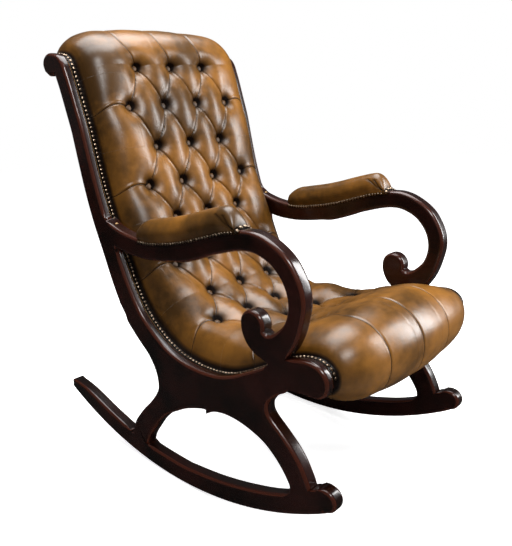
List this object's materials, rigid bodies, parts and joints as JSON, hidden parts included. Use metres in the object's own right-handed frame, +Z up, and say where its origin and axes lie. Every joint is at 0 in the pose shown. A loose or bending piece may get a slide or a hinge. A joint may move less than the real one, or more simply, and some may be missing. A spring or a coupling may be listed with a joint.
{
  "type": "rocking chair",
  "caption": "Rocking chair with bow runners, open scroll arms with leather pads, and one curved sweep of deep-buttoned leather over back and seat.",
  "frame": {"origin": "on the floor under the middle of the chair's bounding box", "axes": "+X to the sitter's left, -Y the way the chair faces, +Z up"},
  "size_m": [0.572, 0.9755, 1.0631],
  "materials": {
    "mahogany": "satin",
    "beech": "matt",
    "steel": "satin",
    "jute": "matt",
    "horsehair": "matt",
    "leather": "satin",
    "brass_nails": "satin",
    "black_cambric": "matt"
  },
  "bodies": {
    "root": {"stile_left": "mahogany", "stile_right": "mahogany", "seat_rail_left": "mahogany", "seat_rail_right": "mahogany", "arm_rail_left": "mahogany", "arm_rail_right": "mahogany", "arm_scroll_left": "mahogany", "arm_scroll_right": "mahogany", "rear_leg_left": "mahogany", "rear_leg_right": "mahogany", "front_leg_left": "mahogany", "front_leg_right": "mahogany", "runner_left": "mahogany", "runner_right": "mahogany", "frame_dowels_left": "beech", "frame_dowels_right": "beech", "crest_rail": "beech", "lumbar_rail": "beech", "rear_seat_rail": "beech", "front_seat_rail": "beech", "cross_rail_dowels": "beech", "corner_blocks": "beech", "corner_block_screws": "steel", "back_webbing": "jute", "seat_webbing": "jute", "hessian": "jute", "back_filling": "horsehair", "seat_filling": "horsehair", "back_cover": "leather", "seat_cover": "leather", "back_buttons": "leather", "seat_buttons": "leather", "arm_pad_filling_left": "horsehair", "arm_pad_filling_right": "horsehair", "arm_pad_left": "leather", "arm_pad_right": "leather", "frame_nails_left": "brass_nails", "frame_nails_right": "brass_nails", "arm_pad_nails_left": "brass_nails", "arm_pad_nails_right": "brass_nails", "back_board": "beech", "outside_back": "leather", "outside_back_nails": "brass_nails", "dust_cover": "black_cambric", "dust_cover_tacks": "steel"}
  },
  "joints": []
}
